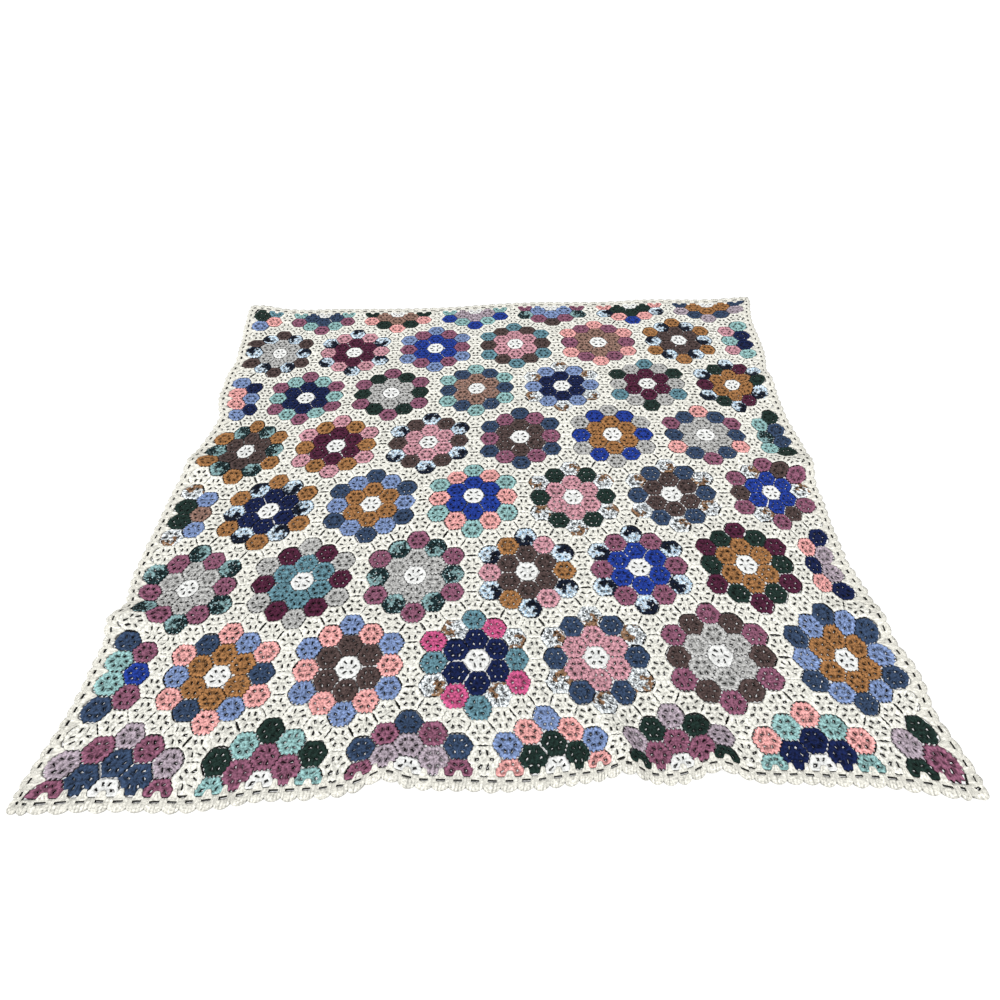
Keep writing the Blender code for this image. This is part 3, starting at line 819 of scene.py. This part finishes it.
def shell_points(rows, place_at, tooth_reach):
    """A shell's points with their heights and stitch places, their numbers by row, column and whether they
    are below, and their painted shade by row and column."""
    points, number_at, crease_at = [], {}, {}
    reach_more = chance.uniform(-SHELL_STRAY, SHELL_STRAY)
    gap_width, gap_depth = chance.uniform(*GAP_WIDTHS), chance.uniform(*GAP_DEPTHS)
    gap_slant = chance.uniform(-GAP_SLANT, GAP_SLANT)
    valley_shade_share = chance.uniform(*VALLEY_SHADE_SPREAD, SHELL_COLUMNS + 1)
    if tooth_reach == SIDE_TOOTH:
        valley_shade_share = valley_shade_share * SIDE_VALLEY_SHADE
        gap_width, gap_depth = gap_width * SIDE_GAP[0], gap_depth * SIDE_GAP[1]
    tooth_width = MIDDLE_WIDTH if tooth_reach == MIDDLE_TOOTH else 1.0
    gap_rows = [rows.index(row) for row in SHELL_ROWS[1:3]]

    for number, row in enumerate(rows):
        first, last = columns_of(row)
        in_fan = number > gap_rows[1]
        for column in range(first, last + 1):
            inside = 0 < column < SHELL_COLUMNS
            at_gap = inside and number in gap_rows
            share = column / SHELL_COLUMNS if in_fan else COLUMN_PLACES[column]
            if row.tooth:
                share = 0.5 + row.tooth * tooth_width * (column - RIBS) / TOOTH_HALF
            out = row.out * tooth_reach if row.tooth else out_at(row, share)
            if inside and in_fan:
                out += reach_more
            if at_gap:
                out = GAP_AT + (out - GAP_AT) * gap_depth + gap_slant * (share - 0.5) * 2
                share = 0.5 + (share - 0.5) * gap_width
            sign = 1.0 if column % 2 else -1.0
            uneven = chance.normal(0, SHELL_HEIGHT_STRAY) if inside else 0.0
            shift_below = row.shift_below * (gap_depth if at_gap else 1.0)
            top = row.top + sign * row.ridge + uneven
            for below, shift, height in ((False, 0.0, top), (True, shift_below, row.bottom)):
                x, y = place_at(share, out + shift)
                number_at[number, column, below] = len(points)
                points.append((x, y, height, (share - 0.5) * SIDE, out - GAP_AT))
            # Painted shade in the valleys between ribs, and darker between fans.
            valley = row.valley * valley_shade_share[column] if sign < 0 else 0.0
            if in_fan and not inside:
                valley = BETWEEN_PAINTED_SHADE
            crease_at[number, column] = min(1.0, row.crease + valley)
    return points, number_at, crease_at


def shell_faces(rows, number_at, crease_at, root_crease):
    """A shell's faces, and the painted shade at their corners."""
    faces, creases = [], []
    first_shell_row = len(rows) - len(SHELL_ROWS)

    def add(keys, corner_painted_shades):
        faces.append([number_at[key] for key in keys])
        creases.extend(corner_painted_shades)

    edges = set()
    for number, row in enumerate(rows[:-1]):
        for column in range(*columns_of(row)):
            if number == first_shell_row + 1 and GAP_COLUMNS[0] <= column < GAP_COLUMNS[1]:
                continue
            after = column + 1
            under = [(number, column), (number, after), (number + 1, after), (number + 1, column)]
            top = under[::-1]
            add([(*corner, False) for corner in top], [crease_at[corner] for corner in top])
            add([(*corner, True) for corner in under], [UNDER_PAINTED_SHADE] * len(under))
            edges.update(zip(under[1:] + under[:1], under))
    for start, end in sorted(edges):
        shared = start[1] == end[1] and start[1] in (0, SHELL_COLUMNS)
        if shared or (end, start) in edges:
            continue
        # Walls get painted shade: their own amounts at the outer edge and where the border meets the field,
        # full elsewhere.
        wall_painted_shades = (WALL_PAINTED_SHADE, WALL_PAINTED_SHADE)
        if start[0] == end[0] == len(rows) - 1:
            wall_painted_shades = OUTER_PAINTED_SHADE
        elif max(start[0], end[0]) <= first_shell_row:
            wall_painted_shades = (root_crease, root_crease)
        keys = ((*end, False), (*start, False), (*start, True), (*end, True))
        add(keys, [wall_painted_shades[below] for _, _, below in keys])
    return faces, creases


def shell_parts(place_at, tooth_reach):
    """One shell's points, its faces, and the painted shade at their corners. place_at(share, out) gives a
    lattice place. tooth_reach is 0 for a shell with no tooth."""
    rows = [*(TOOTH_ROWS if tooth_reach else ()), *SHELL_ROWS]
    points, number_at, crease_at = shell_points(rows, place_at, tooth_reach)
    return points, *shell_faces(rows, number_at, crease_at, ROOT_PAINTED_SHADE[tooth_reach == SIDE_TOOTH])


def shell_across(start, end, normal):
    """place_at for the shell between two points of an edge."""

    def place_at(share, out):
        x, y = start[0] + (end[0] - start[0]) * share, start[1] + (end[1] - start[1]) * share
        return outwards((side_reach(normal[0] * y), y) if normal[0] else (x, y), normal, out)

    return place_at


def shell_round(inner, normal, next_normal):
    """place_at for the shell that goes round a corner of the field."""

    def place_at(share, out):
        first, last = outwards(inner, normal, out), outwards(inner, next_normal, out)
        to_first = np.cos(pi / 2 * share) ** CORNER_ROUNDNESS
        to_last = max(0.0, np.sin(pi / 2 * share)) ** CORNER_ROUNDNESS
        return tuple(
            inner[axis] + (first[axis] - inner[axis]) * to_first + (last[axis] - inner[axis]) * to_last
            for axis in (0, 1)
        )

    return place_at


def shells():
    """The place_at and the tooth_reach of every shell, once round the field."""
    near, right = near_edge(), right_edge()
    right[0] = near[-1]
    far, left = turned(near), turned(right)
    right[-1], left[-1] = far[0], near[0]
    edges = ((near, (0, -1)), (right, (1, 0)), (far, (0, 1)), (left, (-1, 0)))
    for number, (edge, normal) in enumerate(edges):
        for shell, (start, end) in enumerate(zip(edge, edge[1:])):
            whole = abs(end[0] - start[0] + end[1] - start[1]) > WHOLE_SHELL
            tooth = SIDE_TOOTH if normal[0] else MIDDLE_TOOTH if shell % 3 == 1 else 1.0
            yield shell_across(start, end, normal), tooth if whole else 0.0
        next_normal = edges[(number + 1) % len(edges)][1]
        yield shell_round(edge[-1], normal, next_normal), 0.0


def build_border(yarn):
    """The closed ring of shells: pointed ones worked into the field's rim, and fans outside them."""
    points, faces, creases, seeds = [], [], [], []
    for place_at, tooth_reach in shells():
        new_points, new_faces, new_painted_shades = shell_parts(place_at, tooth_reach)
        start = len(points)
        points.extend(new_points)
        faces.extend([[start + corner for corner in face] for face in new_faces])
        # Each shell's painted shade, at its faces' corners.
        creases.extend(new_painted_shades)
        seeds.extend([chance.random()] * len(new_points))

    table = np.array(points)
    placed = lie(table[:, 0], table[:, 1])
    placed[:, 2] += table[:, 2]
    stitch_place = np.column_stack((table[:, 3:5], seeds))
    # Neighbouring shells share the points on the line between them.
    _, kept, number_of = np.unique(np.round(table[:, :3], 6), axis=0, return_index=True, return_inverse=True)
    number_of = number_of.reshape(-1)
    made = mesh_object(
        "shell_border_yarn",
        placed[kept],
        [[int(number_of[corner]) for corner in face] for face in faces],
        [0] * len(faces),
        [yarn],
        np.array(creases),
        stitch_place[kept],
    )
    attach(made, "root")
    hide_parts("shell_border")


# -------- materials

# A noise texture's sockets: how fine it is, how many finer ones are laid over it, how strong those are.
Noise = namedtuple("Noise", "Scale Detail Roughness")
FIBRE_NOISE = Noise(38.0, 3.0, 0.6)
MOTTLE_NOISE = Noise(12.0, 2.0, 0.6)
UNEVEN_NOISE = Noise(5.0, 2.0, 0.5)
RUN_NOISE = Noise(4.5, 2.0, 0.5)
SPECK_NOISE = Noise(10.0, 1.0, 0.5)
NOISE_SPREAD = 0.09  # how far a noise texture strays from its middle value of 0.5

SEED_APART = 57.0  # how far apart two motifs' noises are taken

PLIES_ROUND, PLIES_OUT = 54.0, 150.0  # how fast plies pass, by the radian round a motif and the pitch out
PLY_RELIEF, FIBRE_RELIEF = 0.5, 0.8
RELIEF_STRENGTH, RELIEF_DEPTH = 0.55, 0.0007

MOTTLE_LIGHT = 3.2  # how much lightness varies: from stitch to stitch,
UNEVEN_LIGHT = 0.3  # across a motif,
FIBRE_LIGHT = 0.3  # from fibre to fibre,
MOTIF_LIGHT = 0.06  # from motif to motif,
PLY_LIGHT = 0.04  # and from ply to ply
PAINTED_SHADE_RANGE = (0.3, 1.0, 1.0, 0.04)  # painted shade: from the first value to the second, lightness goes from 1 to this

RUN_SHIFT = 13.0  # how far the runs of a marled yarn are shifted from motif to motif
RUN_STRAY, RUN_SLANT = 0.8, 0.7  # how wavy they are, and how they slant outwards
RUN_SOFTNESS, SPECK_SOFTNESS = 0.06, 0.02

MIX_SOCKETS, MIX_RESULT = (0, 6, 7), 2  # a mix node's sockets for the factor, two colours and the result

Stitch = namedtuple("Stitch", "turn reach seed apart ply fibre")


def linear(code):
    """A colour code such as E2DCC8 as the linear red, green, blue and alpha that a shader takes."""
    parts = [int(code[i : i + 2], 16) / 255 for i in (0, 2, 4)]
    return (*(((p + 0.055) / 1.055) ** 2.4 if p > 0.04045 else p / 12.92 for p in parts), 1.0)


class Shading:
    """A new material, with short ways to add nodes and link them."""

    def __init__(self, name):
        self.material = bpy.data.materials.new(name)
        self.material.use_nodes = True
        self.tree = self.material.node_tree
        self.shader = self.tree.nodes["Principled BSDF"]

    def feed(self, socket, value):
        """Links a socket to another, or gives it a plain value."""
        if isinstance(value, bpy.types.NodeSocket):
            self.tree.links.new(value, socket)
        else:
            socket.default_value = value

    def node(self, kind, sockets, **settings):
        """A new node's outputs, with values or links for its sockets and settings of its own."""
        made = self.tree.nodes.new("ShaderNode" + kind)
        for key, value in settings.items():
            setattr(made, key, value)
        for key, value in sockets.items():
            self.feed(made.inputs[key], value)
        return made.outputs

    def maths(self, operation, *values):
        return self.node("Math", dict(enumerate(values)), operation=operation)[0]

    def weighed(self, *terms):
        """The sum of values, each times its weight."""
        product = self.maths("MULTIPLY", *terms[-1])
        return self.maths("ADD", self.weighed(*terms[:-1]), product) if terms[:-1] else product

    def noise(self, place, noise):
        return self.node("TexNoise", {"Vector": place, **noise._asdict()})["Fac"]

    def attribute(self, name, output):
        return self.node("Attribute", {}, attribute_name=name)[output]

    def combined(self, *values):
        return self.node("CombineXYZ", dict(enumerate(values)))[0]

    def mapped(self, value, ends, easing="LINEAR"):
        """A value between the first two ends, as one between the last two."""
        return self.node("MapRange", dict(enumerate((value, *ends))), interpolation_type=easing)["Result"]

    def mixed(self, *values, blend_type="MIX"):
        """Two colours mixed by a factor, which comes first."""
        sockets = dict(zip(MIX_SOCKETS, values))
        return self.node("Mix", sockets, data_type="RGBA", blend_type=blend_type)[MIX_RESULT]


def stitch_of(shade):
    """What a yarn's pattern goes by: how far round and out in its motif, the motif's chance value, a place
    for noises that differ from motif to motif, the ply and the fibres."""
    x, y, seed = shade.node("SeparateXYZ", {0: shade.attribute("stitch_place", "Vector")})
    turn = shade.maths("ARCTAN2", y, x)
    reach = shade.maths("SQRT", shade.weighed((x, x), (y, y)))
    apart = shade.combined(x, y, shade.maths("MULTIPLY", seed, SEED_APART))
    ply = shade.maths("SINE", shade.weighed((turn, PLIES_ROUND), (reach, PLIES_OUT)))
    return Stitch(turn, reach, seed, apart, ply, shade.noise(apart, FIBRE_NOISE))


def marled(shade, stitch, colour, marl):
    """A yarn's colour with its specks, and over them its runs."""
    stray = shade.noise(stitch.apart, RUN_NOISE)
    along = shade.weighed(
        (stitch.turn, marl.runs / (2 * pi)),
        (stitch.seed, RUN_SHIFT),
        (stray, RUN_STRAY),
        (stitch.reach, RUN_SLANT),
    )
    run = shade.maths("ABSOLUTE", shade.maths("MULTIPLY_ADD", shade.maths("FRACT", along), 2.0, -1.0))
    specks = shade.noise(stitch.apart, SPECK_NOISE)
    edge = 0.5 + NOISE_SPREAD * NormalDist().inv_cdf(1 - marl.speck_share)
    shown = shade.mapped(specks, (edge - SPECK_SOFTNESS, edge + SPECK_SOFTNESS))
    colour = shade.mixed(shown, colour, linear(marl.speck))
    edge = 1 - marl.run_share
    shown = shade.mapped(run, (edge - RUN_SOFTNESS, edge + RUN_SOFTNESS))
    return shade.mixed(shown, colour, linear(marl.run))


def tone_and_painted_shade(shade, stitch, contrast):
    """How light the yarn is: a little uneven in tone, with painted shade where it goes down between stitches
    and in holes, slits and joins.
    """
    mottle = MOTTLE_LIGHT * contrast
    value = shade.maths("MULTIPLY_ADD", shade.noise(stitch.apart, MOTTLE_NOISE), mottle, 1.0 - mottle / 2)
    for stray, amount in (
        (shade.noise(stitch.apart, UNEVEN_NOISE), UNEVEN_LIGHT),
        (stitch.fibre, FIBRE_LIGHT * contrast),
        (stitch.seed, MOTIF_LIGHT),
    ):
        value = shade.maths("ADD", value, shade.maths("MULTIPLY_ADD", stray, amount, -amount / 2))
    value = shade.maths("ADD", value, shade.maths("MULTIPLY", stitch.ply, PLY_LIGHT * contrast))
    # Painted shade in the valleys, holes, slits and joins.
    painted_shading = shade.mapped(shade.attribute("crease", "Fac"), PAINTED_SHADE_RANGE, "SMOOTHSTEP")
    return shade.maths("MULTIPLY", value, painted_shading)


def yarn_material(name, yarn):
    """Matt worsted yarn with leaning plies, loose fibres and painted shade where it goes down into the work.
    """
    shade = Shading(name.replace(" ", "_") + "_yarn")
    shader = shade.shader
    shader.inputs["Roughness"].default_value = 0.9
    shader.inputs["Specular IOR Level"].default_value = 0.1
    shader.inputs["Sheen Weight"].default_value = 0.02
    shader.inputs["Sheen Roughness"].default_value = 0.5

    stitch = stitch_of(shade)
    colour = linear(yarn.colour)
    if yarn.marl:
        colour = marled(shade, stitch, colour, yarn.marl)
    # The yarn's uneven tone times its painted shade.
    tone_and_shade = tone_and_painted_shade(shade, stitch, yarn.contrast)
    grey = shade.combined(tone_and_shade, tone_and_shade, tone_and_shade)
    shade.feed(shader.inputs["Base Color"], shade.mixed(1.0, colour, grey, blend_type="MULTIPLY"))

    relief = shade.weighed((stitch.ply, PLY_RELIEF), (stitch.fibre, FIBRE_RELIEF))
    bump = {"Strength": RELIEF_STRENGTH, "Distance": RELIEF_DEPTH, "Height": relief}
    shade.feed(shader.inputs["Normal"], shade.node("Bump", bump)["Normal"])
    return shade.material


def floor_material():
    """A pale floor, a very little uneven."""
    shade = Shading("pale_floor")
    shade.shader.inputs["Roughness"].default_value = 0.9
    shade.shader.inputs["Specular IOR Level"].default_value = 0.1
    mottle = shade.node("TexNoise", {"Scale": FLOOR_MOTTLE_SCALE})["Fac"]
    colour = shade.mixed(mottle, *((grey, grey, grey, 1.0) for grey in FLOOR_GREYS))
    shade.feed(shade.shader.inputs["Base Color"], colour)
    return shade.material


# -------- camera, floor and light

# The photo's camera: its focal length in pixels of a picture this wide, its place, its turn in radians
IMAGE_SIDE = 1000
FOCAL_PIXELS = 613.13
CAMERA_AT = (0.0296, -1.2883, 1.3273)
CAMERA_TURN = (0.717209, 0.0295037, -0.0179342)
FLOOR_HALF = 14.0  # half the floor's side
FLOOR_BELOW = 0.0004  # how far it lies under the blanket, so that the two faces stay apart
FLOOR_GREYS, FLOOR_MOTTLE_SCALE = (0.90, 0.93), 3.0
SKY_STRENGTH = 0.62
SUN_ENERGY = 2.7
SUN_WIDTH = 22  # how wide the soft light is, in degrees
SUN_TURN = (32, -18, 0)  # how it is turned from straight down, in degrees


def build_camera():
    lens = bpy.data.cameras.new("camera")
    lens.sensor_fit = "HORIZONTAL"
    lens.sensor_width = 36.0
    lens.lens = FOCAL_PIXELS / IMAGE_SIDE * lens.sensor_width
    lens.clip_start = 0.01
    lens.clip_end = 100.0
    camera = scene_object("camera", lens)
    camera.location = CAMERA_AT
    camera.rotation_euler = CAMERA_TURN
    bpy.context.scene.camera = camera


def build_floor():
    mesh = bpy.data.meshes.new("floor")
    corners = ((-1, -1), (1, -1), (1, 1), (-1, 1))
    points = [(x * FLOOR_HALF, y * FLOOR_HALF, -FLOOR_BELOW) for x, y in corners]
    mesh.from_pydata(points, [], [(0, 1, 2, 3)])
    mesh.materials.append(floor_material())
    floor = scene_object("floor", mesh)


def build_light():
    world = bpy.data.worlds.new("studio")
    world.use_nodes = True
    background = world.node_tree.nodes["Background"]
    background.inputs["Color"].default_value = (1.0, 1.0, 1.0, 1.0)
    background.inputs["Strength"].default_value = SKY_STRENGTH
    bpy.context.scene.world = world
    sun = bpy.data.lights.new("soft_key", "SUN")
    sun.energy = SUN_ENERGY
    sun.angle = radians(SUN_WIDTH)
    key = scene_object("soft_key", sun)
    key.rotation_euler = [radians(turn) for turn in SUN_TURN]


def main():
    bpy.context.scene.view_settings.view_transform = "Standard"
    build_camera()
    build_floor()
    build_light()
    yarn_materials = [yarn_material(name, yarn) for name, yarn in YARNS.items()]
    for number, (first, last) in enumerate(BANDS, 1):
        build_band(number, first, last, yarn_materials)
    build_border(yarn_material("border", BORDER_YARN))


main()
